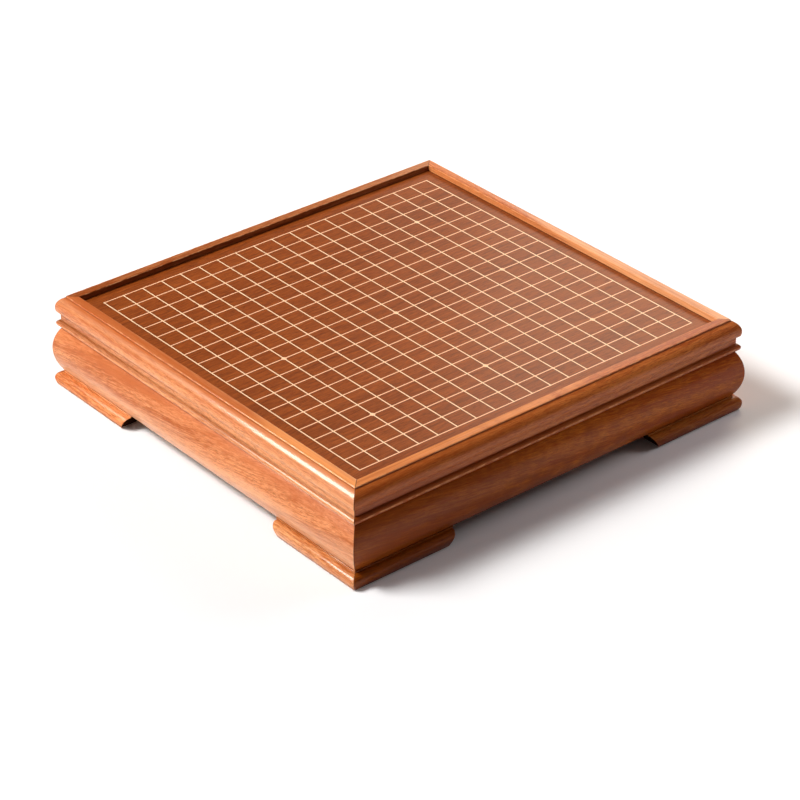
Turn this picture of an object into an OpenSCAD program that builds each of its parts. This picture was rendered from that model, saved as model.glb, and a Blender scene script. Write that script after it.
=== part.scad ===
// Framed go board on four bracket feet.
// A sunken playing panel floats in a mitred frame of moulded top rails, over swelled aprons.
// Frame: +Z up, front is -Y, origin at the middle of the floor under the board. Millimetres.

/* [Grid] */
// Width of the grid across the board, from the first line to the last
grid_x = 414; // [342:1:468]
// Length of the grid along the board, from the first line to the last
grid_y = 432; // [342:1:486]
// Number of lines each way
lines = 19; // [13:2:19]
// Bare border between the outermost line and the rim
margin = 18; // [14:0.5:26]
// Width of a line
line_w = 1.4; // [0.6:0.1:1.8]
// Depth of the sawn grooves that hold the line filling
line_d = 0.6; // [0.4:0.1:1]
// Diameter of a star point
star_d = 5.4; // [3:0.2:6]

/* [Playing panel] */
// Thickness of the panel
panel_t = 12; // [11:0.5:15]
// Thickness of the tongue that runs round the panel
tongue_t = 6; // [4:0.5:7]
// Reach of the tongue into the rails
tongue_l = 5; // [3:0.5:6]
// Room for the panel to swell, beside it and beyond its tongue
panel_gap = 0.3; // [0.2:0.1:0.6]

/* [Top rail] */
// Depth of the recess, from the rim down to the panel
lip_h = 6; // [4.5:0.5:8]
// Width of the flat top of the rim
lip_w = 10; // [8.5:0.5:11]
// Step from the flat top down to the nose
step_h = 1.5; // [1:0.25:2.5]
// Radius of the nose, the rounded edge under the step
nose_r = 13; // [11:0.5:14]
// Reach of the nose and the bead from the rim's inner face
rail_w = 18.7; // [18:0.1:21]
// Height of the nose
nose_h = 17.3; // [15:0.1:19]
// Height of the nose's crown over its flat underside
crown_h = 4.8; // [4:0.1:6]
// Reach of the neck from the rim's inner face
neck_w = 14.8; // [14:0.2:16]
// Height of the neck
neck_h = 9.7; // [8.5:0.1:12]
// Diameter of the bead under the neck
bead_d = 7; // [5.5:0.1:8]
// Reach of the quirk, the narrow channel under the bead
quirk_w = 14.2; // [13.6:0.2:15]
// Height of the quirk
quirk_h = 1.5; // [1:0.1:3]
// Radius of the eased edges
edge_r = 0.8; // [0.5:0.1:1.2]

/* [Apron] */
// Height of the swelled face
swell_h = 51.5; // [45:0.5:56]
// Reach of the swelled face from the rim's inner face
swell_w = 22.6; // [20:0.2:26]
// Reach of the swelled face at its two edges
swell_edge_w = 14.4; // [13.6:0.2:16]

/* [Feet] */
// Length of a foot along the top, from its outer corner
foot_l = 128.5; // [105:0.5:134]
// Slope of the foot's free end: how much shorter the foot is at its bottom
end_slope = 10.5; // [5:0.5:14]
// Height of the foot's flat neck, from its ledge up to the apron
foot_neck_h = 2; // [1.5:0.5:5]
// Reach of the foot's neck from the rim's inner face
foot_neck_w = 15.4; // [15:0.1:16]
// How far a foot stands out past the apron's swelled face
foot_proud = 0.1; // [0:0.1:1.5]
// Radius of the foot's rounded shoulder
shoulder_r = 6.5; // [5:0.5:8]
// Radius of the foot's face below the shoulder
toe_r = 16; // [12:0.5:20]
// Height of the foot's face below the shoulder
toe_h = 7; // [5:0.5:9]
// Diameter of a felt pad
pad_d = 24; // [18:1:26]
// Thickness of a felt pad
pad_t = 1; // [0.8:0.1:2]

/* [Inner joinery] */
// Leg of a triangular corner block
block_leg = 45; // [42:1:52]
// Height of a corner block
block_h = 58; // [52:1:62]
// Width of a batten under the panel
batten_w = 40; // [30:1:46]
// Height of a batten
batten_h = 18; // [14:0.5:22]
// Height of the stub tenon on a batten's end
tenon_h = 9; // [7:0.5:9]
// Length of the stub tenon on a batten's end
tenon_l = 6; // [4:0.5:7]
// Thickness of a mitre spline
spline_t = 4; // [3:0.5:4.5]
// Width of a mitre spline, across its joint
spline_w = 12; // [9:0.5:12]
// Height of a mitre spline in the top rails
rail_spline_h = 14; // [10:0.5:14]
// Height of a mitre spline in the aprons
apron_spline_h = 40; // [30:1:44]
// Distance of splines and dowels from the frame's inner face
joint_w = 7.4; // [7:0.1:7.6]
// Diameter of the dowels between rails and aprons
rail_dowel_d = 8; // [6:0.5:8]
// Length of the dowels between rails and aprons
rail_dowel_l = 16; // [12:1:16]
// Diameter of the dowels between feet and aprons
foot_dowel_d = 6; // [5:0.5:8]
// Length of the dowels between feet and aprons
foot_dowel_l = 18; // [14:1:20]
// Clearance all round a spline, a tenon or a dowel
fit = 0.1; // [0.05:0.05:0.2]

/* [Screws] */
// Diameter of a screw's shank
screw_d = 4; // [3:0.5:5]
// Diameter of a screw's head
screw_head_d = 8; // [7:0.5:9]
// Height of a screw's head
screw_head_h = 2.6; // [2:0.2:3]
// Clearance round a screw's head in its pocket
head_gap = 0.6; // [0.4:0.1:1]
// Wood under the head of a block screw
block_grip = 11; // [9:0.5:12]
// Wood under the head of a batten screw
batten_grip = 11; // [9:0.5:11]
// Reach of a block screw into the apron
block_bite = 12; // [9:0.5:13]
// Reach of a batten screw into the panel
batten_bite = 7; // [5:0.5:8]

/* [Hidden] */
$fn = 96;
wood_colour = [0.66, 0.36, 0.19];
panel_colour = [0.60, 0.32, 0.17];
line_colour = [0.93, 0.70, 0.50];
inner_wood_colour = [0.78, 0.60, 0.40];
felt_colour = [0.24, 0.21, 0.19];
steel_colour = [0.72, 0.72, 0.70];

// Opening inside the rim
inner_x = grid_x + 2 * margin;
inner_y = grid_y + 2 * margin;

// Spacing of the lines
cell_x = grid_x / (lines - 1);
cell_y = grid_y / (lines - 1);

// Heights, from the floor up
tip_z = pad_t + toe_h;
ledge_z = tip_z + shoulder_r;
apron_z = ledge_z + foot_neck_h;
rail_z = apron_z + swell_h;
bead_z = rail_z + quirk_h;
neck_z = bead_z + bead_d;
nose_z = neck_z + neck_h;
rim_z = nose_z + nose_h + step_h;
panel_z = rim_z - lip_h;
panel_floor_z = panel_z - panel_t;
tongue_z = panel_floor_z + (panel_t - tongue_t) / 2;
batten_z = panel_floor_z - batten_h;

// The swelled face is an arc through its two edges and its crown
swell_rise = swell_w - swell_edge_w;
swell_r = (swell_rise * swell_rise + swell_h * swell_h / 4) / (2 * swell_rise);

// Reach of a foot, and the farthest reach of any moulding, from the rim's inner face
foot_w = swell_w + foot_proud;
reach = max(foot_w, rail_w);

// Places of dowels and screws, as shares of the length or height that they hold together
thirds = [-1 / 3, 0, 1 / 3];
foot_dowel_shares = [0.3, 0.76];
block_screw_shares = [0.52, 0.84];
batten_y = inner_y / 4;

// Block screws stand as far along the block as leaves this much wood behind their heads
head_cover = 3;
block_screw_at = block_leg - block_grip - screw_head_h - head_cover;

// Splines are centred in the height they have, the rail's being the wood under the panel's groove
rail_spline_z = (rail_z + tongue_z - rail_spline_h) / 2;
apron_spline_z = (apron_z + rail_z - apron_spline_h) / 2;

// A pad sits in the middle of its block: the centre of the circle that touches all three sides
pad_at = block_leg * (1 - sqrt(0.5));

// Star points lie on the fourth line from each edge and on the middle line, counted from 0
star_lines = [3, (lines - 1) / 2, lines - 4];

// Overrun of a cut past the face it opens through
cut = 1;

// Sides are turned from the back: 0 back, 1 left, 2 front, 3 right
module on_side(side) {
    rotate([0, 0, 90 * side])
        translate([0, (side % 2 == 0 ? inner_y : inner_x) / 2, 0])
            children();
}

// Inner length of a side
function side_length(side) = side % 2 == 0 ? inner_x : inner_y;

// Runs an outline along a side, its first axis outward from the inner face, its second axis up
module run_along(length) {
    rotate([90, 0, 90])
        linear_extrude(height = length, center = true)
            children();
}

// A full-length moulding, mitred at both ends
module mitred(length) {
    intersection() {
        run_along(length + 2 * reach) children();
        linear_extrude(height = rim_z)
            polygon([
                [-length / 2, 0], [length / 2, 0],
                [length / 2 + reach, reach], [-length / 2 - reach, reach]
            ]);
    }
}

// One half of a bracket foot, mitred at the corner and sawn to a slope at its free end
module half_foot(side, end) {
    length = side_length(side);
    corner = length / 2;
    free_end = corner + foot_w - foot_l;
    on_side(side)
        mirror([end < 0 ? 1 : 0, 0, 0])
            intersection() {
                run_along(length + 2 * reach) foot_outline();
                linear_extrude(height = apron_z)
                    polygon([[free_end, 0], [corner, 0], [corner + reach, reach], [free_end, reach]]);
                translate([0, reach, 0])
                    rotate([90, 0, 0])
                        linear_extrude(height = reach)
                            polygon([
                                [free_end, apron_z], [free_end + end_slope, pad_t],
                                [corner + reach, pad_t], [corner + reach, apron_z]
                            ]);
            }
}

// Copies for the four corners, with the corner at the frame's inner corner and the board toward +X +Y
module on_corners() {
    for (sx = [-1, 1])
        for (sy = [-1, 1])
            on_corner(sx, sy) children();
}

module on_corner(sx, sy) {
    translate([sx * inner_x / 2, sy * inner_y / 2, 0])
        mirror([sx > 0 ? 1 : 0, 0, 0])
            mirror([0, sy > 0 ? 1 : 0, 0])
                children();
}

// Outlines of the mouldings

// The flat rim, eased along its two top edges
module lip_outline() {
    height = rim_z - rail_z;
    translate([0, rail_z]) square([lip_w, height - edge_r]);
    translate([edge_r, rail_z]) square([lip_w - 2 * edge_r, height]);
    for (x = [edge_r, lip_w - edge_r])
        translate([x, rim_z - edge_r]) circle(r = edge_r);
}

module rail_outline() {
    difference() {
        union() {
            lip_outline();
            // Nose: an arc cut flat at the step and along its underside
            intersection() {
                translate([rail_w - nose_r, nose_z + crown_h]) circle(r = nose_r, $fn = 180);
                translate([0, nose_z]) square([rail_w, nose_h]);
            }
            // Neck, bead and quirk under it
            translate([0, neck_z]) square([neck_w, neck_h]);
            translate([rail_w - bead_d / 2, bead_z + bead_d / 2]) circle(d = bead_d);
            translate([0, bead_z]) square([rail_w - bead_d / 2, bead_d]);
            translate([0, rail_z]) square([quirk_w, quirk_h]);
        }
        translate([-cut, tongue_z]) square([cut + tongue_l + panel_gap, tongue_t]);
    }
}

module apron_outline() {
    intersection() {
        translate([swell_w - swell_r, apron_z + swell_h / 2]) circle(r = swell_r, $fn = 360);
        translate([0, apron_z]) square([swell_w, swell_h]);
    }
}

module foot_outline() {
    intersection() {
        translate([foot_w - shoulder_r, tip_z]) circle(r = shoulder_r);
        translate([0, tip_z]) square([foot_w, shoulder_r]);
    }
    translate([0, tip_z]) square([foot_w - shoulder_r, shoulder_r]);
    intersection() {
        translate([foot_w - toe_r, tip_z]) circle(r = toe_r);
        translate([0, pad_t]) square([foot_w, toe_h]);
    }
    translate([0, pad_t]) square([foot_w - toe_r, toe_h]);
    translate([0, ledge_z]) square([foot_neck_w, foot_neck_h]);
}

// Outlines of the grid

module star_outline() {
    for (i = star_lines)
        for (j = star_lines)
            translate([i * cell_x - grid_x / 2, j * cell_y - grid_y / 2])
                circle(d = star_d);
}

// The net of lines: a plate with one window for each cell
module net_outline() {
    difference() {
        square([grid_x + line_w, grid_y + line_w], center = true);
        for (i = [0.5 : lines - 1.5])
            for (j = [0.5 : lines - 1.5])
                translate([i * cell_x - grid_x / 2, j * cell_y - grid_y / 2])
                    square([cell_x - line_w, cell_y - line_w], center = true);
    }
}

// Hidden joinery, each with the gap that its holes need

module rail_dowel_set(gap = 0) {
    for (side = [0 : 3])
        on_side(side)
            for (share = thirds)
                translate([share * side_length(side), joint_w, rail_z - rail_dowel_l / 2 - gap])
                    cylinder(d = rail_dowel_d + 2 * gap, h = rail_dowel_l + 2 * gap);
}

module foot_dowel_set(gap = 0) {
    on_corners()
        for (share = foot_dowel_shares) {
            along = share * foot_l - foot_w;
            for (at = [[along, -joint_w], [-joint_w, along]])
                translate([at.x, at.y, apron_z - foot_dowel_l / 2 - gap])
                    cylinder(d = foot_dowel_d + 2 * gap, h = foot_dowel_l + 2 * gap);
        }
}

module spline_set(z, height, gap = 0) {
    on_corners()
        translate([-joint_w, -joint_w, z - gap])
            rotate([0, 0, 45])
                translate([-spline_t / 2 - gap, -spline_w / 2 - gap, 0])
                    cube([spline_t + 2 * gap, spline_w + 2 * gap, height + 2 * gap]);
}

// A screw along +Z with the underside of its head at the origin
module screw(bite) {
    cylinder(d = screw_d, h = bite);
    translate([0, 0, -screw_head_h]) cylinder(d = screw_head_d, h = screw_head_h);
}

// The hole for such a screw: pilot, and a pocket for the head that opens behind it
module screw_hole(bite, pocket) {
    cylinder(d = screw_d + 2 * fit, h = bite + fit);
    translate([0, 0, -pocket]) cylinder(d = screw_head_d + 2 * head_gap, h = pocket);
}

// Places of the block screws, pointing from the block into the apron
module on_block_screws() {
    on_corners()
        for (share = block_screw_shares) {
            z = pad_t + share * block_h;
            translate([block_screw_at, block_grip, z]) rotate([90, 0, 0]) children();
            translate([block_grip, block_screw_at, z]) rotate([0, -90, 0]) children();
        }
}

// Places of the batten screws, pointing up into the panel
module on_batten_screws() {
    for (sy = [-1, 1])
        for (share = thirds)
            translate([share * inner_x, sy * batten_y, panel_floor_z - batten_grip]) children();
}

// Sub-parts

module playing_panel() {
    color(panel_colour)
        difference() {
            union() {
                translate([-inner_x / 2 + panel_gap, -inner_y / 2 + panel_gap, panel_floor_z])
                    cube([inner_x - 2 * panel_gap, inner_y - 2 * panel_gap, panel_t]);
                translate([-inner_x / 2 - tongue_l, -inner_y / 2 - tongue_l, tongue_z])
                    cube([inner_x + 2 * tongue_l, inner_y + 2 * tongue_l, tongue_t]);
            }
            translate([0, 0, panel_z - line_d])
                linear_extrude(height = line_d + cut) {
                    net_outline();
                    star_outline();
                }
            on_batten_screws() screw_hole(batten_grip + batten_bite, batten_h);
        }
}

module grid_lines() {
    color(line_colour)
        translate([0, 0, panel_z - line_d])
            linear_extrude(height = line_d)
                difference() {
                    net_outline();
                    star_outline();
                }
}

module star_points() {
    color(line_colour)
        translate([0, 0, panel_z - line_d])
            linear_extrude(height = line_d)
                star_outline();
}

// Batten: a bar across the underside of the panel, with a stub tenon at each end
module batten_solid(gap = 0) {
    translate([-inner_x / 2, -batten_w / 2, batten_z])
        cube([inner_x, batten_w, batten_h]);
    translate([-inner_x / 2 - tenon_l - gap, -batten_w / 2 - gap, panel_floor_z - tenon_h - gap])
        cube([inner_x + 2 * (tenon_l + gap), batten_w + 2 * gap, tenon_h + gap]);
}

module top_rail(side) {
    color(wood_colour)
        difference() {
            on_side(side) mitred(side_length(side)) rail_outline();
            spline_set(rail_spline_z, rail_spline_h, fit);
            rail_dowel_set(fit);
            if (side % 2 == 1)
                for (sy = [-1, 1])
                    translate([0, sy * batten_y, 0]) batten_solid(fit);
        }
}

module top_rail_back() { top_rail(0); }
module top_rail_left() { top_rail(1); }
module top_rail_front() { top_rail(2); }
module top_rail_right() { top_rail(3); }

module apron(side) {
    color(wood_colour)
        difference() {
            on_side(side) mitred(side_length(side)) apron_outline();
            spline_set(apron_spline_z, apron_spline_h, fit);
            rail_dowel_set(fit);
            foot_dowel_set(fit);
            on_block_screws() screw_hole(block_grip + block_bite, block_leg);
        }
}

module apron_back() { apron(0); }
module apron_left() { apron(1); }
module apron_front() { apron(2); }
module apron_right() { apron(3); }

// Half a bracket foot: the side it lies on, and which end of that side
module foot(side, end) {
    color(wood_colour)
        difference() {
            half_foot(side, end);
            foot_dowel_set(fit);
        }
}

module foot_back_left_back() { foot(0, -1); }
module foot_back_right_back() { foot(0, 1); }
module foot_back_left_side() { foot(1, 1); }
module foot_front_left_side() { foot(1, -1); }
module foot_front_left_front() { foot(2, 1); }
module foot_front_right_front() { foot(2, -1); }
module foot_front_right_side() { foot(3, 1); }
module foot_back_right_side() { foot(3, -1); }

module corner_block(sx, sy) {
    color(inner_wood_colour)
        difference() {
            on_corner(sx, sy)
                translate([0, 0, pad_t])
                    linear_extrude(height = block_h)
                        polygon([[0, 0], [block_leg, 0], [0, block_leg]]);
            on_block_screws() screw_hole(block_grip + block_bite, block_leg);
        }
}

module corner_block_front_left() { corner_block(-1, -1); }
module corner_block_front_right() { corner_block(1, -1); }
module corner_block_back_left() { corner_block(-1, 1); }
module corner_block_back_right() { corner_block(1, 1); }

module foot_pad(sx, sy) {
    color(felt_colour)
        on_corner(sx, sy)
            translate([pad_at, pad_at, 0])
                cylinder(d = pad_d, h = pad_t);
}

module foot_pad_front_left() { foot_pad(-1, -1); }
module foot_pad_front_right() { foot_pad(1, -1); }
module foot_pad_back_left() { foot_pad(-1, 1); }
module foot_pad_back_right() { foot_pad(1, 1); }

module batten(sy) {
    color(inner_wood_colour)
        difference() {
            translate([0, sy * batten_y, 0]) batten_solid();
            on_batten_screws() screw_hole(batten_grip + batten_bite, batten_h);
        }
}

module batten_front() { batten(-1); }
module batten_back() { batten(1); }

module rail_splines() { color(inner_wood_colour) spline_set(rail_spline_z, rail_spline_h); }
module apron_splines() { color(inner_wood_colour) spline_set(apron_spline_z, apron_spline_h); }
module rail_dowels() { color(inner_wood_colour) rail_dowel_set(); }
module foot_dowels() { color(inner_wood_colour) foot_dowel_set(); }
module block_screws() { color(steel_colour) on_block_screws() screw(block_grip + block_bite); }
module batten_screws() { color(steel_colour) on_batten_screws() screw(batten_grip + batten_bite); }

playing_panel();
grid_lines();
star_points();
top_rail_back();
top_rail_left();
top_rail_front();
top_rail_right();
apron_back();
apron_left();
apron_front();
apron_right();
foot_back_left_back();
foot_back_right_back();
foot_back_left_side();
foot_front_left_side();
foot_front_left_front();
foot_front_right_front();
foot_front_right_side();
foot_back_right_side();
corner_block_front_left();
corner_block_front_right();
corner_block_back_left();
corner_block_back_right();
foot_pad_front_left();
foot_pad_front_right();
foot_pad_back_left();
foot_pad_back_right();
batten_front();
batten_back();
rail_splines();
apron_splines();
rail_dowels();
foot_dowels();
block_screws();
batten_screws();
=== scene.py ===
import math

import bpy
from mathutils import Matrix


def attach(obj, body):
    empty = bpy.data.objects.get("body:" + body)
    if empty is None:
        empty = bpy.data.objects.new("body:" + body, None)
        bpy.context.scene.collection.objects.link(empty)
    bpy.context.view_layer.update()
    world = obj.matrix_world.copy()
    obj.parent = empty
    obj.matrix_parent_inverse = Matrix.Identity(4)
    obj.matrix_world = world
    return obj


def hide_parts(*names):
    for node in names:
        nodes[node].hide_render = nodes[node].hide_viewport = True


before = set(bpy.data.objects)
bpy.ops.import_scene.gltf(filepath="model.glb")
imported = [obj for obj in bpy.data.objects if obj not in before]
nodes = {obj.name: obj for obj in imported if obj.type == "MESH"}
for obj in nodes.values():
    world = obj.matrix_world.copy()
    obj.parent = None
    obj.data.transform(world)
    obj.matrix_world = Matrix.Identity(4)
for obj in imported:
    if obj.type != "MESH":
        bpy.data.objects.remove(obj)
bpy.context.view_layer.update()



def link(tree, output, socket):
    tree.links.new(output, socket)


def node(tree, kind, **settings):
    made = tree.nodes.new(kind)
    for name, value in settings.items():
        setattr(made, name, value)
    return made


def math_node(tree, operation, first, second=0.0, clamp=False):
    made = node(tree, "ShaderNodeMath", operation=operation, use_clamp=clamp)
    for socket, value in zip(made.inputs, (first, second)):
        if isinstance(value, (int, float)):
            socket.default_value = value
        else:
            link(tree, value, socket)
    return made.outputs[0]


def distance_from(tree, value, centre):
    """How far a value lies from a centre, to either side."""
    return math_node(tree, "ABSOLUTE", math_node(tree, "SUBTRACT", value, centre))


def split_axes(tree, place):
    parts = node(tree, "ShaderNodeSeparateXYZ")
    link(tree, place, parts.inputs[0])
    return parts.outputs


def stretched_noise(tree, place, stretch, detail, roughness=0.5):
    """Noise with its own fineness along each axis, in marks to the metre."""
    scaled = node(tree, "ShaderNodeVectorMath", operation="MULTIPLY")
    link(tree, place, scaled.inputs[0])
    scaled.inputs[1].default_value = stretch
    noise = node(tree, "ShaderNodeTexNoise", noise_dimensions="3D")
    noise.inputs["Scale"].default_value = 1.0
    noise.inputs["Detail"].default_value = detail
    noise.inputs["Roughness"].default_value = roughness
    link(tree, scaled.outputs[0], noise.inputs["Vector"])
    return noise.outputs


def swing(tree, noise, weight):
    """A noise centred on nought and scaled."""
    return math_node(tree, "MULTIPLY", math_node(tree, "SUBTRACT", noise, 0.5), weight)


def ramp(tree, value, low, high, to_low=0.0, to_high=1.0):
    made = node(tree, "ShaderNodeMapRange", interpolation_type="SMOOTHSTEP")
    link(tree, value, made.inputs["Value"])
    made.inputs["From Min"].default_value = low
    made.inputs["From Max"].default_value = high
    made.inputs["To Min"].default_value = to_low
    made.inputs["To Max"].default_value = to_high
    return made.outputs["Result"]


def mix_colour(tree, share, first, second):
    """A mix of two colours. The node's colour sockets come after those for numbers and vectors."""
    made = node(tree, "ShaderNodeMix", data_type="RGBA", blend_type="MIX")
    sockets = (made.inputs[0], made.inputs[6], made.inputs[7])
    for socket, value in zip(sockets, (share, first, second)):
        if hasattr(value, "is_output"):
            link(tree, value, socket)
        else:
            socket.default_value = value
    return made.outputs[2]


def shader_group(name, inputs, outputs):
    """A shader node group with named sockets: the group, what it is given and what it is asked for."""
    group = bpy.data.node_groups.new(name, "ShaderNodeTree")
    for in_out, sockets in (("INPUT", inputs), ("OUTPUT", outputs)):
        for socket, kind in sockets.items():
            group.interface.new_socket(socket, in_out=in_out, socket_type="NodeSocket" + kind)
    given = node(group, "NodeGroupInput").outputs
    asked = node(group, "NodeGroupOutput").inputs
    return group, given, asked


# Grain of a hardwood, with x along the fibres: broad figure, streaks, dashes, fibres, flecks and open pores
sway_stretch = (4.0, 11.0, 11.0)
sway_reach = 0.016
figure_stretch = (2.6, 46.0, 46.0)
streak_stretch = (8.0, 380.0, 380.0)
streak_weight = 1.3
dash_stretch = (85.0, 780.0, 780.0)
dash_dull = 0.08
dash_ridge = 0.30
fibre_stretch = (55.0, 1600.0, 1600.0)
fibre_weight = 0.6
fibre_ridge = 0.35
fleck_stretch = (180.0, 820.0, 820.0)
fleck_edge = (0.55, 0.70)
fleck_share = 0.45
pore_stretch = (150.0, 2300.0, 2300.0)
pore_edge = (0.60, 0.70)
pore_share = 0.55
pore_dark = (0.035, 0.010, 0.004, 1.0)
pore_dull = 0.16
grain, given, asked = shader_group(
    "hardwood_grain",
    {"Place": "Vector", "Pale": "Color", "Deep": "Color", "Fleck": "Color",
     "Figure": "Float", "Dashes": "Float", "Pores": "Float", "Gloss": "Float"},
    {"Colour": "Color", "Roughness": "Float", "Height": "Float"})

sway = stretched_noise(grain, given["Place"], sway_stretch, detail=2.0)["Color"]
sway_centred = node(grain, "ShaderNodeVectorMath", operation="MULTIPLY_ADD")
link(grain, sway, sway_centred.inputs[0])
sway_centred.inputs[1].default_value = (0.0, sway_reach, sway_reach)
sway_centred.inputs[2].default_value = (0.0, -sway_reach / 2, -sway_reach / 2)
swayed = node(grain, "ShaderNodeVectorMath", operation="ADD")
link(grain, given["Place"], swayed.inputs[0])
link(grain, sway_centred.outputs[0], swayed.inputs[1])
along = swayed.outputs[0]

figure = stretched_noise(grain, along, figure_stretch, detail=2.0)["Fac"]
streaks = stretched_noise(grain, along, streak_stretch, detail=3.0, roughness=0.6)["Fac"]
dashes = stretched_noise(grain, along, dash_stretch, detail=2.0, roughness=0.6)["Fac"]
fibres = stretched_noise(grain, along, fibre_stretch, detail=2.0)["Fac"]
flecks = ramp(grain, stretched_noise(grain, along, fleck_stretch, detail=2.0)["Fac"], *fleck_edge)
pores = ramp(grain, stretched_noise(grain, along, pore_stretch, detail=1.0)["Fac"], *pore_edge)
pores = math_node(grain, "MULTIPLY", pores, given["Pores"])

broad = swing(grain, figure, given["Figure"])
fine = swing(grain, streaks, streak_weight)
short = swing(grain, dashes, given["Dashes"])
finest = swing(grain, fibres, fibre_weight)
coarse_tone = math_node(grain, "ADD", broad, fine)
fine_tone = math_node(grain, "ADD", short, finest)
tone = math_node(grain, "ADD", coarse_tone, fine_tone)
wood = mix_colour(grain, math_node(grain, "ADD", tone, 0.5, clamp=True), given["Deep"], given["Pale"])
wood = mix_colour(grain, math_node(grain, "MULTIPLY", flecks, fleck_share), wood, given["Fleck"])
wood = mix_colour(grain, math_node(grain, "MULTIPLY", pores, pore_share), wood, pore_dark)
link(grain, wood, asked["Colour"])

matt_pores = math_node(grain, "MULTIPLY", pores, pore_dull)
matt_dashes = math_node(grain, "MULTIPLY", short, dash_dull)
dulled = math_node(grain, "ADD", matt_pores, matt_dashes)
link(grain, math_node(grain, "ADD", given["Gloss"], dulled), asked["Roughness"])

raised_fibres = math_node(grain, "MULTIPLY", fibres, fibre_ridge)
raised_dashes = math_node(grain, "MULTIPLY", dashes, dash_ridge)
ridges = math_node(grain, "ADD", raised_fibres, raised_dashes)
link(grain, math_node(grain, "SUBTRACT", ridges, pores), asked["Height"])


def new_material(name):
    """An empty material, with its node tree and its surface."""
    material = bpy.data.materials.new(name)
    material.use_nodes = True
    tree = material.node_tree
    return material, tree, tree.nodes["Principled BSDF"]


pore_depth = 0.0002
lacquer_ior = 1.5


def wood_material(name, turn, start, relief, shine, coat, coat_gloss, **marks):
    """Hardwood with its fibres turned from X by three angles, cut from its own place in the tree."""
    material, tree, surface = new_material(name)
    place = node(tree, "ShaderNodeTexCoord")
    turned = node(tree, "ShaderNodeMapping", vector_type="POINT")
    turned.inputs["Location"].default_value = start
    turned.inputs["Rotation"].default_value = turn
    link(tree, place.outputs["Object"], turned.inputs["Vector"])
    fibre = node(tree, "ShaderNodeGroup", node_tree=grain)
    link(tree, turned.outputs[0], fibre.inputs["Place"])
    for mark, value in marks.items():
        fibre.inputs[mark.capitalize()].default_value = value
    bump = node(tree, "ShaderNodeBump")
    bump.inputs["Strength"].default_value = relief
    bump.inputs["Distance"].default_value = pore_depth
    link(tree, fibre.outputs["Height"], bump.inputs["Height"])
    link(tree, fibre.outputs["Colour"], surface.inputs["Base Color"])
    link(tree, fibre.outputs["Roughness"], surface.inputs["Roughness"])
    link(tree, bump.outputs[0], surface.inputs["Normal"])
    surface.inputs["IOR"].default_value = lacquer_ior
    surface.inputs["Specular IOR Level"].default_value = shine
    surface.inputs["Coat Weight"].default_value = coat
    surface.inputs["Coat Roughness"].default_value = coat_gloss
    surface.inputs["Coat IOR"].default_value = lacquer_ior
    return material


def dress(name, material):
    nodes[name].data.materials.clear()
    nodes[name].data.materials.append(material)


panel_pale = (0.368, 0.083, 0.011, 1.0)
panel_deep = (0.158, 0.028, 0.002, 1.0)
panel_fleck = (0.276, 0.039, 0.004, 1.0)
panel_turn = (0.0, 0.0, -math.pi / 2)
panel_start = (0.31, 0.12, 0.07)
panel_wood = wood_material("panel_hardwood", panel_turn, panel_start,
                           relief=0.35, shine=0.13, coat=0.17, coat_gloss=0.20,
                           pale=panel_pale, deep=panel_deep, fleck=panel_fleck,
                           figure=0.7, dashes=1.5, pores=0.9, gloss=0.42)

# Edges of the sawn grooves, darkened by oil from the filling, and a painted shade along the edge by the
# rails.
# The sight is the part of the panel that shows inside the rails.
cell = (0.023, 0.024)
sight = (0.450, 0.468)
line_w = 0.0014
lines_out = 9
soak_and_shade_dark = (0.080, 0.014, 0.002, 1.0)
soak_share = 0.45
soak_edge = (0.6 * line_w, 1.5 * line_w)
soak_end = 0.3
rail_shade_share = 0.75
rail_shade_edge = (0.0004, 0.0030)


def off_lines(tree, value, size):
    """How far a place lies from the nearest grid line, in cells."""
    cells = math_node(tree, "ADD", math_node(tree, "DIVIDE", value, size), 0.5)
    return distance_from(tree, math_node(tree, "FRACT", cells), 0.5)


tree = panel_wood.node_tree
surface = tree.nodes["Principled BSDF"]
split = split_axes(tree, tree.nodes["Texture Coordinate"].outputs["Object"])
from_middle = [math_node(tree, "ABSOLUTE", split[axis]) for axis in "XY"]
by_lines = []
for own, other in ((0, 1), (1, 0)):
    off_line = math_node(tree, "MULTIPLY", off_lines(tree, split["XY"[own]], cell[own]), cell[own])
    soaked = ramp(tree, off_line, *soak_edge, 1.0, 0.0)
    beside = math_node(tree, "LESS_THAN", from_middle[other], lines_out * cell[other] + line_w)
    on_grid = math_node(tree, "LESS_THAN", from_middle[own], (lines_out + soak_end) * cell[own])
    by_lines.append(math_node(tree, "MULTIPLY", math_node(tree, "MULTIPLY", soaked, beside), on_grid))
darkened = math_node(tree, "MULTIPLY", math_node(tree, "MAXIMUM", *by_lines), soak_share)
# Painted shade along the panel's edges by the rails
for middle, size in zip(from_middle, sight):
    from_rail = math_node(tree, "SUBTRACT", size / 2, middle)
    darkened = math_node(tree, "MAXIMUM", darkened, ramp(tree, from_rail, *rail_shade_edge, rail_shade_share, 0.0))
bare = surface.inputs["Base Color"].links[0].from_socket
link(tree, mix_colour(tree, darkened, bare, soak_and_shade_dark), surface.inputs["Base Color"])
dress("playing_panel", panel_wood)
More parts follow.
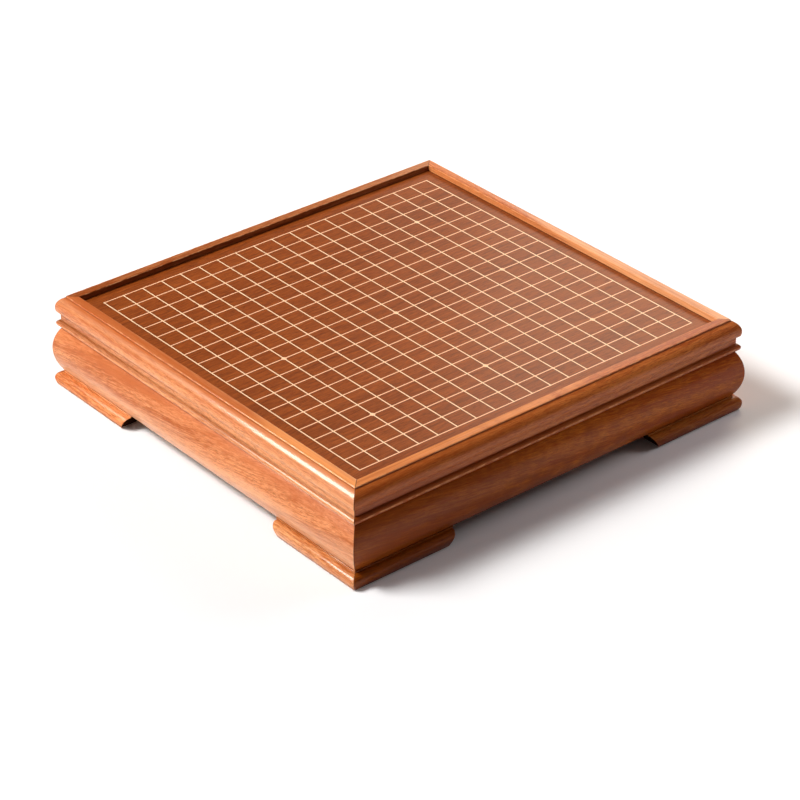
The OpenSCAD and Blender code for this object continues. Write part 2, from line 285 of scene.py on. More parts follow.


# Line filling
# Pale peach filler pressed into the sawn grooves and rubbed flush, lines and star points alike.
# The lines across the board are painted a little paler than the lines along it, a painted highlight on the
# lines of one direction.
across_lit_pale = (0.990, 0.670, 0.410, 1.0)
along_shaded_pale = (0.990, 0.540, 0.310, 1.0)
stained_filling = (0.620, 0.300, 0.140, 1.0)
filling_gloss = (0.40, 0.62)
stained_edge = (0.50, 0.80)
stained_share = 0.35
line_edge = (0.55 * line_w / cell[1], 0.62 * line_w / cell[1])
mottle_stretch = (420.0, 420.0, 420.0)
filling, tree, filler = new_material("line_filling")
place = node(tree, "ShaderNodeTexCoord").outputs["Object"]
split = split_axes(tree, place)
between = ramp(tree, off_lines(tree, split["Y"], cell[1]), *line_edge)
mottle = stretched_noise(tree, place, mottle_stretch, detail=3.0)["Fac"]
line_colour = mix_colour(tree, between, across_lit_pale, along_shaded_pale)
stained = ramp(tree, mottle, *stained_edge, 0.0, stained_share)
link(tree, mix_colour(tree, stained, line_colour, stained_filling), filler.inputs["Base Color"])
link(tree, ramp(tree, mottle, 0.2, 0.8, *filling_gloss), filler.inputs["Roughness"])
dress("grid_lines", filling)
dress("star_points", filling)


# Top rails
# Four mitred lengths of moulded hardwood, each with a flat rim, a step, a rounded nose, a neck and a bead.
# They are lacquered to a semi-gloss, with the arrises sanded round, and carry the panel in a groove.
import bmesh

rail_z = 0.068
rim_z = 0.105
lip_w = 0.010
rail_w = 0.0187
quirk_w = 0.0142
bead_z = 0.0695
bead_r = 0.0035
neck_w = 0.0148
neck_z = 0.0765
nose_z = 0.0862
nose_r = 0.013
crown_h = 0.0048
rail_ease = 0.0008
rail_arris = 0.0009
square_w = 0.004
sharp_angle = 32


def arc(centre, radius, start, end, steps):
    """Points on an arc, its angles in degrees from the outward axis."""
    turns = [math.radians(start + (end - start) * k / steps) for k in range(steps + 1)]
    return [(centre[0] + radius * math.cos(t), centre[1] + radius * math.sin(t)) for t in turns]


def eased(outline, radius, steps=3, straight=25, most=0.48):
    """The outline with its outer corners rounded, where they turn by more than a few degrees."""
    made = []
    count = len(outline)
    for k, corner in enumerate(outline):
        before = outline[k - 1]
        after = outline[(k + 1) % count]
        back = (before[0] - corner[0], before[1] - corner[1])
        on = (after[0] - corner[0], after[1] - corner[1])
        back_size = math.hypot(*back)
        on_size = math.hypot(*on)
        cosine = (back[0] * on[0] + back[1] * on[1]) / (back_size * on_size)
        opening = math.acos(max(-1.0, min(1.0, cosine)))
        outer = back[0] * on[1] - back[1] * on[0] < 0
        if not outer or math.pi - opening < math.radians(straight):
            made.append(corner)
            continue
        cut = min(radius / math.tan(opening / 2), most * min(back_size, on_size))
        first = tuple(corner[j] + back[j] / back_size * cut for j in (0, 1))
        last = tuple(corner[j] + on[j] / on_size * cut for j in (0, 1))
        for i in range(steps + 1):
            share = i / steps
            pull = ((1 - share) ** 2, 2 * share * (1 - share), share ** 2)
            made.append(tuple(pull[0] * first[j] + pull[1] * corner[j] + pull[2] * last[j] for j in (0, 1)))
    return made


def on_side(side, along, out, height):
    """A point from a side's own axes: 0 back, 1 left, 2 front, 3 right."""
    x = along
    y = sight[1 - side % 2] / 2 + out
    turn = side * math.pi / 2
    return (x * math.cos(turn) - y * math.sin(turn), x * math.sin(turn) + y * math.cos(turn), height)


def mitre_rings(outline, half, end, arris):
    """Rings from the mitre inward, with the outer corner's arris rounded and the inner corner square."""
    mitre_sine = math.sin(math.pi / 4)
    rings = []
    for degrees in (45, 36, 27, 18, 9, 0):
        t = math.radians(degrees)
        ring = []
        for out, height in outline:
            round_off = arris if out > square_w else 0.0
            inset = round_off * (1 - math.cos(t))
            back = round_off * (1 - mitre_sine) + arris * (mitre_sine - math.sin(t))
            ring.append((end * (half + out - back), out - inset, height))
        rings.append(ring)
    return rings


def closed_solid(name, rings, sharp):
    """A closed solid through rings of points, shaded smooth where it bends less than an angle."""
    shape = bmesh.new()
    loops = [[shape.verts.new(point) for point in ring] for ring in rings]
    count = len(loops[0])
    for first, second in zip(loops, loops[1:]):
        for k in range(count):
            after = (k + 1) % count
            shape.faces.new((first[k], first[after], second[after], second[k]))
    shape.faces.new(loops[0])
    shape.faces.new(loops[-1])
    bmesh.ops.recalc_face_normals(shape, faces=shape.faces)
    mesh = bpy.data.meshes.new(name)
    shape.to_mesh(mesh)
    shape.free()
    mesh.shade_smooth()
    mesh.set_sharp_from_angle(angle=math.radians(sharp))
    piece = bpy.data.objects.new(name, mesh)
    bpy.context.scene.collection.objects.link(piece)
    return piece


def swept(name, side, rings):
    """A length of moulding through rings of points given in a side's own axes."""
    placed = [[on_side(side, *point) for point in ring] for ring in rings]
    return closed_solid(name, placed, sharp_angle)


def full_length(name, side, outline, arris):
    half = sight[side % 2] / 2
    left = mitre_rings(outline, half, -1, arris)
    right = mitre_rings(outline, half, 1, arris)
    return swept(name, side, left + right[::-1])


nose_low = math.degrees(math.asin(crown_h / nose_r))
nose_top = math.degrees(math.acos((lip_w - rail_w + nose_r) / nose_r))
rail_outline = [(0.0, rail_z), (quirk_w, rail_z), (quirk_w, bead_z)]
rail_outline += arc((rail_w - bead_r, bead_z + bead_r), bead_r, -90, 90, steps=20)
rail_outline += [(neck_w, neck_z), (neck_w, nose_z)]
rail_outline += arc((rail_w - nose_r, nose_z + crown_h), nose_r, -nose_low, nose_top, steps=30)
rail_outline += [(lip_w, rim_z), (0.0, rim_z)]
rail_outline = eased(rail_outline, rail_ease)


def past_sight(tree, split):
    """How far a place lies outside the rails' inner faces, along X and along Y."""
    return [math_node(tree, "SUBTRACT", math_node(tree, "ABSOLUTE", split[axis]), size / 2)
            for axis, size in zip("XY", sight)]


def lay_over(material, group, **values):
    """Pass a wood's colour through a group, and its roughness too where the group takes it."""
    tree = material.node_tree
    surface = tree.nodes["Principled BSDF"]
    layer = node(tree, "ShaderNodeGroup", node_tree=group)
    taken = layer.inputs.keys()
    link(tree, tree.nodes["Texture Coordinate"].outputs["Object"], layer.inputs["Place"])
    if "Fibre" in taken:
        link(tree, tree.nodes["Mapping"].outputs[0], layer.inputs["Fibre"])
    for name, socket in (("Colour", "Base Color"), ("Roughness", "Roughness")):
        if name in taken:
            link(tree, surface.inputs[socket].links[0].from_socket, layer.inputs[name])
            link(tree, layer.outputs[name], surface.inputs[socket])
    for name, value in values.items():
        layer.inputs[name].default_value = value


# Mitre joint: a hairline of dark glue where two lengths meet
glue_dark = (0.040, 0.012, 0.005, 1.0)
glue_edge = (0.0002, 0.0009)
glue_share = 0.72
mitre, given, asked = shader_group(
    "mitre_joint", {"Place": "Vector", "Colour": "Color"}, {"Colour": "Color"})
off_mitre = distance_from(mitre, *past_sight(mitre, split_axes(mitre, given["Place"])))
joint = ramp(mitre, off_mitre, *glue_edge, glue_share, 0.0)
link(mitre, mix_colour(mitre, joint, given["Colour"], glue_dark), asked["Colour"])

# Painted shade in the creases of the mouldings, under the aprons' bottom edge, between foot and apron, and
# along the feet's toes.
# Each is a height, how far the painted shade reaches up and down from there, and how strong it is.
crease_painted_shade = (0.090, 0.016, 0.003, 1.0)
step_z = nose_z + crown_h + nose_r * math.sin(math.radians(nose_top))
quirk_crease_z = rail_z + 0.0009
step_crease_z = step_z + 0.0002
foot_neck_crease_z = 0.0155
apron_crease_z = 0.0170
crease_heights = (quirk_crease_z, neck_z, nose_z, step_crease_z, foot_neck_crease_z, apron_crease_z)
fine_creases = [(height, 0.0008, 0.42) for height in crease_heights]
shaded_neck = (neck_z, 0.0030, 0.40)
shaded_toe = (0.001, 0.0042, 0.55)
solid_share = 0.1
crease, given, asked = shader_group(
    "painted_crease_shade", {"Place": "Vector", "Colour": "Color"}, {"Colour": "Color"})
split = split_axes(crease, given["Place"])
crease_shade = 0.0
for height, reach, share in fine_creases + [shaded_neck, shaded_toe]:
    off_crease = distance_from(crease, split["Z"], height)
    dark = ramp(crease, off_crease, solid_share * reach, reach, share, 0.0)
    crease_shade = math_node(crease, "MAXIMUM", crease_shade, dark)
past = math_node(crease, "MAXIMUM", *past_sight(crease, split))
outer_face = math_node(crease, "GREATER_THAN", past, lip_w / 2)
crease_shade = math_node(crease, "MULTIPLY", crease_shade, outer_face)
link(crease, mix_colour(crease, crease_shade, given["Colour"], crease_painted_shade), asked["Colour"])

# Worn arrises: the lacquer rubs thin and dull on the edges that hands and table touch, and the paler colour
# there is partly wear and partly painted highlight.
rubbed_highlight_pale = (0.880, 0.440, 0.190, 1.0)
rubbed_edge = (0.0003, 0.0013)
rubbed_highlight_share = 0.42
rubbed_dull = 0.14
patch_stretch = (90.0, 90.0, 90.0)
patch_edge = (0.40, 0.62)
foot_edge = (0.0211, 0.001)
worn_edges = ((0.0, rim_z), (lip_w, rim_z), (rail_w, bead_z + bead_r), foot_edge)
wear_and_highlight, given, asked = shader_group(
    "worn_and_highlit_arrises",
    {"Place": "Vector", "Colour": "Color", "Roughness": "Float"},
    {"Colour": "Color", "Roughness": "Float"})
split = split_axes(wear_and_highlight, given["Place"])
past = math_node(wear_and_highlight, "MAXIMUM", *past_sight(wear_and_highlight, split))
nearest = 1.0
for out, height in worn_edges:
    off_out = distance_from(wear_and_highlight, past, out)
    off_up = distance_from(wear_and_highlight, split["Z"], height)
    nearest = math_node(wear_and_highlight, "MINIMUM", nearest, math_node(wear_and_highlight, "MAXIMUM", off_out, off_up))
patches = ramp(wear_and_highlight, stretched_noise(wear_and_highlight, given["Place"], patch_stretch, 4.0, 0.6)["Fac"], *patch_edge)
rubbed = math_node(wear_and_highlight, "MULTIPLY", ramp(wear_and_highlight, nearest, *rubbed_edge, 1.0, 0.0), patches)
rubbed_and_highlit = math_node(wear_and_highlight, "MULTIPLY", rubbed, rubbed_highlight_share)
link(wear_and_highlight, mix_colour(wear_and_highlight, rubbed_and_highlit, given["Colour"], rubbed_highlight_pale), asked["Colour"])
duller = math_node(wear_and_highlight, "MULTIPLY", rubbed, rubbed_dull)
link(wear_and_highlight, math_node(wear_and_highlight, "ADD", given["Roughness"], duller), asked["Roughness"])

# Colour run: a board shades into another colour along or across its length, above a given height; runs serve
# for sapwood and for painted light and shade.
waver_stretch = (7.0, 60.0, 60.0)
waver_weight = 1.6
run_streak_stretch = (14.0, 420.0, 420.0)
run_streak_edge = (0.32, 0.68)
run_streak_range = (0.62, 1.16)
sap_and_light_run, given, asked = shader_group(
    "sapwood_and_painted_light_run",
    {"Place": "Vector", "Fibre": "Vector", "Way": "Vector", "Start": "Float", "Length": "Float",
     "Share": "Float", "Above": "Float", "Sap": "Color", "Colour": "Color"},
    {"Colour": "Color"})
reach = node(sap_and_light_run, "ShaderNodeVectorMath", operation="DOT_PRODUCT")
link(sap_and_light_run, given["Place"], reach.inputs[0])
link(sap_and_light_run, given["Way"], reach.inputs[1])
into = math_node(sap_and_light_run, "SUBTRACT", reach.outputs["Value"], given["Start"])
into = math_node(sap_and_light_run, "DIVIDE", into, given["Length"])
waver = stretched_noise(sap_and_light_run, given["Place"], waver_stretch, detail=3.0)["Fac"]
into = math_node(sap_and_light_run, "ADD", into, swing(sap_and_light_run, waver, waver_weight))
high = math_node(sap_and_light_run, "GREATER_THAN", split_axes(sap_and_light_run, given["Place"])["Z"], given["Above"])
share = math_node(sap_and_light_run, "MULTIPLY", ramp(sap_and_light_run, into, 0.0, 1.0), given["Share"])
share = math_node(sap_and_light_run, "MULTIPLY", share, high)
streaked = stretched_noise(sap_and_light_run, given["Fibre"], run_streak_stretch, detail=3.0, roughness=0.6)["Fac"]
streaked = ramp(sap_and_light_run, streaked, *run_streak_edge, *run_streak_range)
share = math_node(sap_and_light_run, "MULTIPLY", share, streaked)
link(sap_and_light_run, mix_colour(sap_and_light_run, share, given["Colour"], given["Sap"]), asked["Colour"])


def shade_into(material, way, start, length, share, run_colour, above=0.0):
    lay_over(material, sap_and_light_run, Way=way, Start=start, Length=length, Share=share, Sap=run_colour, Above=above)


frame_pale = (0.800, 0.275, 0.082)
frame_deep = (0.430, 0.085, 0.010)
frame_fleck = (0.450, 0.072, 0.008)


def tinted(colour, tint):
    return tuple(t * c for t, c in zip(tint, colour)) + (1.0,)


def frame_wood(name, side, start, tint, coat, lean=0.0, runs=()):
    """Lacquered frame wood with its fibres along a side, leaning a little across the face."""
    turn = (0.0, lean, 0.0) if side % 2 == 0 else (lean, 0.0, -math.pi / 2)
    material = wood_material(name, turn, start, relief=0.22, shine=0.13, coat=coat, coat_gloss=0.14,
                             pale=tinted(frame_pale, tint), deep=tinted(frame_deep, tint),
                             fleck=tinted(frame_fleck, tint), figure=2.8, dashes=2.0, pores=0.9, gloss=0.38)
    for run in runs:
        shade_into(material, *run)
    for layer in (mitre, crease, wear_and_highlight):
        lay_over(material, layer)
    return material


def cut_place(first, step, count):
    """Where in the tree a board is cut from, so that no two share their figure."""
    return tuple(f + s * count for f, s in zip(first, step))


# No two boards are the same colour, and the tints also carry painted light: the lit front board is painted
# the palest, the shaded right one the darkest and reddest.
# A row is a side, a tint, a coat of lacquer and the board's runs: way, start, length, share and colour,
# with the height that a run keeps above where it has one.
rail_sap_and_light = (0.930, 0.450, 0.200, 1.0)
nose_painted_shade = (0.460, 0.085, 0.012, 1.0)
rim_painted_shade = (0.530, 0.112, 0.016, 1.0)
rim_sap_and_light = (0.980, 0.370, 0.105, 1.0)
right_painted_shade = (0.420, 0.085, 0.010, 1.0)
bead_painted_shade = (0.280, 0.050, 0.005, 1.0)
wall_painted_shade = (0.120, 0.018, 0.001, 1.0)
wall_painted_light = (0.990, 0.400, 0.125, 1.0)
along_x = (1.0, 0.0, 0.0)
upward = (0.0, 0.0, 1.0)
downward = (0.0, 0.0, -1.0)
toward_front = (0.0, -1.0, 0.0)
rim_face = rim_z - 0.0010
wall_skin = 0.0006
wall_edge = 0.0003
# Painted light and shade in the runs: the back rail is painted paler towards its right end and on its inner
# wall, and the left rail's inner wall is painted dark as painted shade. The front nose has a band of painted
# shade and the front rim top a painted shade; the front rail's runs along its length are sapwood. The right
# rail has painted shade towards its front end and under its bead, and its rim top is painted lighter towards
# the front as painted light.
rail_boards = {
    "back": (0, (0.90, 0.80, 0.76), 0.34, [
        (along_x, -0.12, 0.36, 0.80, rail_sap_and_light),
        (toward_front, -sight[1] / 2 - wall_skin, wall_edge, 0.34, wall_painted_light)]),
    "left": (1, (0.70, 0.72, 0.76), 0.34, [
        (along_x, -sight[0] / 2 - wall_skin, wall_edge, 0.72, wall_painted_shade)]),
    "front": (2, (1.01, 1.17, 1.42), 0.48, [
        (upward, 0.0895, 0.0055, 0.45, nose_painted_shade),
        (upward, 0.0962, 0.0020, 0.22, rail_sap_and_light),
        (upward, 0.1000, 0.0040, 0.80, rim_painted_shade),
        (along_x, 0.03, 0.14, 0.20, rail_sap_and_light),
        (along_x, 0.02, 0.12, 0.66, rim_sap_and_light, rim_face)]),
    "right": (3, (0.83, 0.68, 0.46), 0.22, [
        (toward_front, -0.10, 0.24, 0.48, right_painted_shade),
        (downward, -0.0772, 0.0008, 0.50, bead_painted_shade),
        (toward_front, -0.12, 0.26, 0.46, rim_sap_and_light, rim_face)]),
}
for side_name, (side, tint, coat, runs) in rail_boards.items():
    rail = full_length("rail_" + side_name, side, rail_outline, rail_arris)
    start = cut_place((0.0, 0.23, 0.0), (0.37, 0.19, 0.11), side)
    rail.data.materials.append(frame_wood("rail_wood_" + side_name, side, start, tint, coat, runs=runs))
    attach(rail, "root")
    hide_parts("top_rail_" + side_name)


# Aprons
# Four thicker lengths of the same wood under the rails, faces planed to a full swell, mitred at the corners.
# Wide faces show the figure best: broad soft bands with dark flecks, under the same lacquer.
apron_z = 0.0165
swell_w = 0.0226
swell_edge_w = 0.0144
swell_h = rail_z - apron_z
swell_rise = swell_w - swell_edge_w
swell_r = (swell_rise ** 2 + swell_h ** 2 / 4) / (2 * swell_rise)
swell_half = math.degrees(math.asin(swell_h / 2 / swell_r))
apron_ease = 0.0006
apron_arris = 0.0009
apron_lean = 0.14
apron_outline = [(0.0, apron_z)]
apron_outline += arc((swell_w - swell_r, apron_z + swell_h / 2), swell_r, -swell_half, swell_half, steps=36)
apron_outline += [(0.0, rail_z)]
apron_outline = eased(apron_outline, apron_ease)
front_low_reflection = (0.880, 0.520, 0.310, 1.0)
front_high_dark = (0.540, 0.145, 0.040, 1.0)
right_end_painted_shade = (0.220, 0.040, 0.003, 1.0)
right_low_painted_shade = (0.200, 0.038, 0.004, 1.0)
# As on the rails, the tints carry painted light: the front apron is painted palest and the right one darkest.
# The front apron is painted paler and creamier towards its bottom, a painted reflection of the floor, and
# darker towards its top. The right apron has painted shade towards its front end and towards its bottom.
apron_boards = {
    "back": (0, (0.98, 0.98, 0.98), 0.17, []),
    "left": (1, (0.94, 0.94, 0.94), 0.17, []),
    "front": (2, (0.95, 1.06, 1.34), 0.17, [
        (downward, -0.050, 0.024, 0.50, front_low_reflection),
        (upward, 0.050, 0.012, 0.60, front_high_dark)]),
    "right": (3, (0.72, 0.57, 0.15), 0.10, [
        (toward_front, -0.17, 0.28, 0.75, right_end_painted_shade),
        (downward, -0.046, 0.030, 0.50, right_low_painted_shade)]),
}
for side_name, (side, tint, coat, runs) in apron_boards.items():
    apron = full_length("swell_" + side_name, side, apron_outline, apron_arris)
    start = cut_place((0.21, 0.67, 0.31), (0.41, 0.27, 0.13), side)
    wood = frame_wood("apron_wood_" + side_name, side, start, tint, coat, lean=apron_lean, runs=runs)
    apron.data.materials.append(wood)
    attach(apron, "root")
    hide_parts("apron_" + side_name)


# Bracket feet
# Two mitred lengths of moulding at each corner, with a flat neck, a rounded shoulder and a sloped free end.
# They are dowelled up into the aprons and glued to a block behind the corner.
# The bare end grain takes the stain darker, and is painted nearly black without shine as painted shade.
foot_l = 0.1285
end_slope = 0.0105
foot_w = 0.0227
foot_z = 0.001
tip_z = 0.008
ledge_z = 0.0145
foot_neck_w = 0.0154
shoulder_r = 0.0065
toe_r = 0.016
foot_ease = 0.0006
foot_arris = 0.0025
end_ease = 0.0007
toe_low = math.degrees(math.asin((tip_z - foot_z) / toe_r))
foot_outline = [(0.0, foot_z)]
foot_outline += arc((foot_w - toe_r, tip_z), toe_r, -toe_low, 0, steps=12)
foot_outline += arc((foot_w - shoulder_r, tip_z), shoulder_r, 0, 90, steps=16)[1:]
foot_outline += [(foot_neck_w, ledge_z), (foot_neck_w, apron_z), (0.0, apron_z)]
foot_outline = eased(foot_outline, foot_ease)


def inward(outline, depth):
    """The outline drawn in on itself by a small depth."""
    made = []
    count = len(outline)
    for k, point in enumerate(outline):
        before = outline[k - 1]
        after = outline[(k + 1) % count]
        tangent = (after[0] - before[0], after[1] - before[1])
        size = math.hypot(*tangent) or 1.0
        made.append((point[0] - tangent[1] / size * depth, point[1] + tangent[0] / size * depth))
    return made


def half_foot(name, side, end):
    half = sight[side % 2] / 2
    rings = mitre_rings(foot_outline, half, end, foot_arris)
    free_end = half + foot_w - foot_l
    for degrees in (0, 30, 60, 90):
        t = math.radians(degrees)
        ring = []
        for out, height in inward(foot_outline, end_ease * (1 - math.cos(t))):
            slope = end_slope * (apron_z - height) / (apron_z - foot_z)
            ring.append((end * (free_end + slope + end_ease * (1 - math.sin(t))), out, height))
        rings.append(ring)
    return swept(name, side, rings)


# A half foot is named for its corner and the side it is on, and stands at one end of that side
feet = {
    "back_left_back": (0, -1),
    "back_right_back": (0, 1),
    "back_left_side": (1, 1),
    "front_left_side": (1, -1),
    "front_left_front": (2, 1),
    "front_right_front": (2, -1),
    "front_right_side": (3, 1),
    "back_right_side": (3, -1),
}
# The front feet's pale creamy tints are painted light, and the dark tints of the right side's feet are
# painted shade.
foot_tints = {
    "front_left_front": (1.12, 1.28, 1.55),
    "front_right_front": (0.98, 1.28, 1.65),
    "front_right_side": (0.34, 0.21, 0.02),
    "back_right_side": (0.58, 0.52, 0.28),
}
unseen_tint = (0.86, 0.82, 0.78)
foot_coats = {"front_left_front": 0.06, "front_right_front": 0.42}
plain_coat = 0.18
shade_least = 0.94
shade_step = 0.02
end_pale = (0.030, 0.010, 0.003, 1.0)
end_deep = (0.012, 0.003, 0.001, 1.0)
end_grain = wood_material("foot_end_grain", (0.0, 0.0, 0.0), (0.13, 0.59, 0.37),
                          relief=0.3, shine=0.0, coat=0.0, coat_gloss=0.5,
                          pale=end_pale, deep=end_deep, fleck=end_deep,
                          figure=1.0, dashes=0.8, pores=0.5, gloss=0.80)
for count, (foot_name, (side, end)) in enumerate(feet.items()):
    foot = half_foot("bracket_" + foot_name, side, end)
    start = cut_place((0.53, 0.0, 0.71), (0.29, 0.17, 0.07), count)
    shade = shade_least + shade_step * (count % 3)
    tint = tuple(shade * t for t in foot_tints.get(foot_name, unseen_tint))
    coat = foot_coats.get(foot_name, plain_coat)
    foot.data.materials.append(frame_wood("foot_wood_" + foot_name, side, start, tint, coat))
    foot.data.materials.append(end_grain)
    foot.data.polygons[-1].material_index = 1
    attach(foot, "root")
    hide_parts("foot_" + foot_name)


# Corner blocks, battens, splines and dowels
# Plain pale softwood that never shows in use: sawn blocks behind the corners, battens under the panel.
# Splines cross the mitres and dowels join rails, aprons and feet, all left unfinished.
inner_pale = (0.640, 0.430, 0.235, 1.0)
inner_deep = (0.440, 0.255, 0.115, 1.0)
unfinished = {
    "relief": 0.5, "shine": 0.3, "coat": 0.0, "coat_gloss": 0.3,
    "pale": inner_pale, "deep": inner_deep, "fleck": inner_deep,
    "figure": 1.0, "dashes": 0.8, "pores": 0.35,
}
upright = (0.0, math.pi / 2, 0.0)
level = (0.0, 0.0, 0.0)
block_wood = wood_material("inner_wood_blocks", upright, (0.9, 0.4, 0.2), gloss=0.72, **unfinished)
batten_wood = wood_material("inner_wood_battens", level, (0.2, 0.8, 0.5), gloss=0.70, **unfinished)
corners = ("front_left", "front_right", "back_left", "back_right")
for corner in corners:
    dress("corner_block_" + corner, block_wood)
for hidden in ("batten_front", "batten_back", "rail_splines", "apron_splines", "rail_dowels", "foot_dowels"):
    dress(hidden, batten_wood)


# Screws
# Plain steel wood screws that hold the blocks to the aprons and the battens to the panel.
# Their heads sit in drilled pockets, dulled by handling.
steel_bright = (0.56, 0.56, 0.54, 1.0)
steel_tarnished = (0.34, 0.32, 0.29, 1.0)
steel_gloss = (0.28, 0.5)
stain_stretch = (600.0, 600.0, 600.0)
steel, tree, metal = new_material("screw_steel")
place = node(tree, "ShaderNodeTexCoord").outputs["Object"]
stain = stretched_noise(tree, place, stain_stretch, detail=3.0)["Fac"]
tarnish = mix_colour(tree, ramp(tree, stain, 0.4, 0.7), steel_bright, steel_tarnished)
link(tree, tarnish, metal.inputs["Base Color"])
link(tree, ramp(tree, stain, 0.3, 0.7, *steel_gloss), metal.inputs["Roughness"])
metal.inputs["Metallic"].default_value = 1.0
dress("block_screws", steel)
dress("batten_screws", steel)


# Felt pads
# Thin discs of dark felt glued under the corner blocks, so that the feet clear the table.
# The cut edge is soft and a little uneven, and the face is matted fibre.
pad_r = 0.012
pad_t = 0.001
block_leg = 0.045
pad_in = block_leg * (1 - math.sqrt(0.5))
pad_turns = 72
pad_sharp = 50
pad_section = ((0.6, 0.0), (0.93, 0.0), (0.985, 0.12), (1.0, 0.5), (0.985, 0.88), (0.93, 1.0), (0.6, 1.0))
ragged_depth = 0.012
ragged_waves = (5, 13)
ragged_shift = (90, 70)
felt_deep = (0.030, 0.026, 0.023, 1.0)
felt_pale = (0.070, 0.060, 0.052, 1.0)
felt_gloss = (0.85, 1.0)
nap_depth = 0.0003
hair_pale = (0.140, 0.122, 0.108, 1.0)
hair_share = 0.6
matted_stretch = (900.0, 1700.0, 900.0)
hair_stretch = (5200.0, 700.0, 5200.0)
felt, tree, nap = new_material("pad_felt")
place = node(tree, "ShaderNodeTexCoord").outputs["Object"]
matted = stretched_noise(tree, place, matted_stretch, detail=4.0, roughness=0.7)["Fac"]
hairs = stretched_noise(tree, place, hair_stretch, detail=2.0)["Fac"]
fuzz = mix_colour(tree, ramp(tree, matted, 0.3, 0.7), felt_deep, felt_pale)
fuzz = mix_colour(tree, ramp(tree, hairs, 0.6, 0.75, 0.0, hair_share), fuzz, hair_pale)
link(tree, fuzz, nap.inputs["Base Color"])
link(tree, ramp(tree, matted, 0.2, 0.8, *felt_gloss), nap.inputs["Roughness"])
lift = node(tree, "ShaderNodeBump")
lift.inputs["Strength"].default_value = 0.6
lift.inputs["Distance"].default_value = nap_depth
link(tree, matted, lift.inputs["Height"])
link(tree, lift.outputs[0], nap.inputs["Normal"])
nap.inputs["Sheen Weight"].default_value = 0.4
nap.inputs["Sheen Roughness"].default_value = 0.6


def felt_disc(name, x, y):
    rings = []
    for share, height in pad_section:
        ring = []
        for k in range(pad_turns):
            t = 2 * math.pi * k / pad_turns
            slow = math.sin(ragged_waves[0] * t + x * ragged_shift[0])
            quick = math.sin(ragged_waves[1] * t + y * ragged_shift[1])
            radius = pad_r * share * (1 - ragged_depth * share * (1 + slow * quick))
            ring.append((x + radius * math.cos(t), y + radius * math.sin(t), pad_t * height))
        rings.append(ring)
    return closed_solid(name, rings, pad_sharp)


for corner in corners:
    sign_y = -1 if corner.startswith("front") else 1
    sign_x = -1 if corner.endswith("left") else 1
    pad = felt_disc("felt_" + corner, sign_x * (sight[0] / 2 - pad_in), sign_y * (sight[1] / 2 - pad_in))
    pad.data.materials.append(felt)
    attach(pad, "root")
    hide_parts("foot_pad_" + corner)


# Floor
# A plain pale studio floor, wide enough to fill every view. It isn't part of the board.
# It takes the board's shadow near by, looks white further off, and is clear from below.
floor_half = 30.0
floor_near = (0.98, 0.98, 0.98, 1.0)
floor_far = (0.20, 0.20, 0.20, 1.0)
shadow_middle = (-0.20, -0.10, 0.0)
shadow_edge = (0.62, 0.86)
floor_corners = [(x * floor_half, y * floor_half, 0) for x, y in ((-1, -1), (1, -1), (1, 1), (-1, 1))]
floor_mesh = bpy.data.meshes.new("floor")
floor_mesh.from_pydata(floor_corners, [], [(0, 1, 2, 3)])
floor = bpy.data.objects.new("floor", floor_mesh)
bpy.context.scene.collection.objects.link(floor)
paper, tree, sheet = new_material("floor_paper")
sheet.inputs["Roughness"].default_value = 1.0
sheet.inputs["Specular IOR Level"].default_value = 0.0
glow = node(tree, "ShaderNodeEmission")
seen = node(tree, "ShaderNodeLightPath").outputs
looked_at = math_node(tree, "MAXIMUM", seen["Is Camera Ray"], seen["Is Glossy Ray"])
looked_at = math_node(tree, "MAXIMUM", looked_at, seen["Is Transmission Ray"])
away = node(tree, "ShaderNodeVectorMath", operation="DISTANCE")
link(tree, node(tree, "ShaderNodeTexCoord").outputs["Object"], away.inputs[0])
away.inputs[1].default_value = shadow_middle
far_off = ramp(tree, away.outputs["Value"], *shadow_edge)
link(tree, mix_colour(tree, far_off, floor_near, floor_far), sheet.inputs["Base Color"])
link(tree, math_node(tree, "MULTIPLY", looked_at, far_off), glow.inputs["Strength"])
both = node(tree, "ShaderNodeAddShader")
link(tree, sheet.outputs[0], both.inputs[0])
link(tree, glow.outputs[0], both.inputs[1])
from_below = node(tree, "ShaderNodeNewGeometry").outputs["Backfacing"]
one_sided = node(tree, "ShaderNodeMixShader")
link(tree, from_below, one_sided.inputs[0])
link(tree, both.outputs[0], one_sided.inputs[1])
link(tree, node(tree, "ShaderNodeBsdfTransparent").outputs[0], one_sided.inputs[2])
link(tree, one_sided.outputs[0], tree.nodes["Material Output"].inputs["Surface"])
floor_mesh.materials.append(paper)


# Studio light
# A high key box at the left front, a low front card, and a warm box and card behind the left corner for the
# panel's sheen. A tall turned card glints on the front mouldings, and a card at the back fills the shadow.
from mathutils import Quaternion, Vector

white = (1.0, 1.0, 1.0)
warm = (1.0, 0.84, 0.66)
cream = (1.0, 0.95, 0.88)
cool = (0.94, 0.93, 0.97)
board_middle = (0.0, 0.0, 0.05)
board_face = (0.0, 0.0, 0.10)
front_nose = (0.20, -0.25, 0.09)
floor_behind = (0.30, 0.20, 0.0)


def soft_box(name, place, target, size, power, colour=white, glint=True, fill=True, twist=0.0):
    lamp = bpy.data.lights.new(name, "AREA")
    lamp.color = colour
    lamp.shape = "RECTANGLE"
    lamp.size = size[0]
    lamp.size_y = size[1]
    lamp.energy = power
    stand = bpy.data.objects.new(name, lamp)
    stand.location = place
    facing = (Vector(target) - Vector(place)).to_track_quat("-Z", "Y")
    stand.rotation_euler = (facing @ Quaternion((0.0, 0.0, 1.0), math.radians(twist))).to_euler()
    stand.visible_glossy = glint
    stand.visible_diffuse = fill
    bpy.context.scene.collection.objects.link(stand)


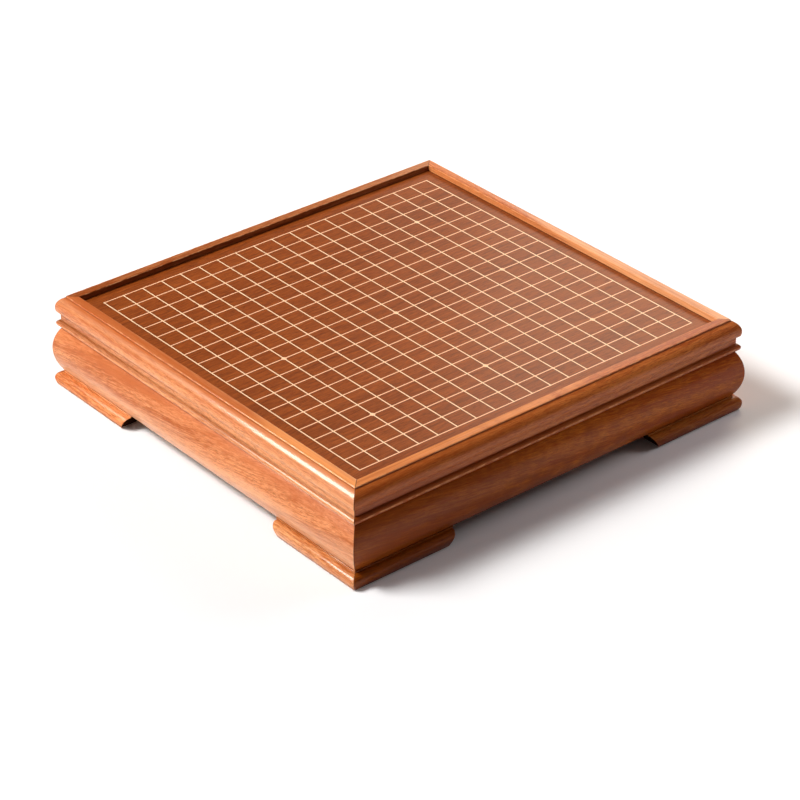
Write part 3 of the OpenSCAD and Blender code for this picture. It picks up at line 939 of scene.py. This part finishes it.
soft_box("key_box", (-2.15, -3.27, 4.55), board_middle, size=(2.3, 1.9), power=388.0)
soft_box("front_card", (-0.90, -3.30, 0.60), board_middle, size=(2.2, 1.0), power=36.0)
soft_box("sheen_box", (-0.79, 1.53, 1.13), board_face, size=(1.16, 0.85), power=13.8, colour=warm)
soft_box("sheen_card", (-1.46, 1.33, 0.92), board_face, size=(0.26, 0.36), power=0.6, colour=warm, fill=False)
soft_box("glint_card", (-1.77, -2.18, 1.60), front_nose, size=(0.56, 1.20), power=72.0, colour=cream,
         fill=False, twist=32)
soft_box("side_card", (0.55, 1.25, 0.75), floor_behind, size=(0.7, 0.6), power=5.8, colour=cool, glint=False)

# A dim warm room round the lamps, which the camera sees as white and reflections show a little brighter
room_warm = (1.0, 0.86, 0.84, 1.0)
room_white = (1.0, 1.0, 1.0, 1.0)
room_rise = (0.02, 0.25)
room_dim = (0.09, 0.08)
room_mirrored = 0.14
room = bpy.data.worlds.new("dim_room")
room.use_nodes = True
bpy.context.scene.world = room
tree = room.node_tree
air = tree.nodes["Background"]
rise = split_axes(tree, node(tree, "ShaderNodeTexCoord").outputs["Generated"])["Z"]
dim = ramp(tree, rise, *room_rise, *room_dim)
seen = node(tree, "ShaderNodeLightPath").outputs
looked_at = math_node(tree, "MAXIMUM", seen["Is Camera Ray"], seen["Is Transmission Ray"])
mirrored = math_node(tree, "MULTIPLY", seen["Is Glossy Ray"], room_mirrored)
lit = math_node(tree, "MAXIMUM", dim, mirrored)
link(tree, math_node(tree, "MAXIMUM", lit, looked_at), air.inputs["Strength"])
link(tree, mix_colour(tree, looked_at, room_warm, room_white), air.inputs["Color"])


# Camera
# Stands where the photograph was taken from, over the near corner and well back, with a long lens.
# Its place and lens were worked out from the lines of the grid.
camera_place = (1.9797, -1.6446, 1.5501)
camera_aim = (0.0085, -0.0018, 0.0)
lens = bpy.data.cameras.new("camera")
lens.lens = 130.75
lens.sensor_width = 36.0
lens.clip_end = 200.0
camera = bpy.data.objects.new("camera", lens)
camera.location = camera_place
camera.rotation_euler = (Vector(camera_aim) - camera.location).to_track_quat("-Z", "Y").to_euler()
bpy.context.scene.collection.objects.link(camera)
bpy.context.scene.camera = camera
bpy.context.scene.view_settings.view_transform = "Standard"
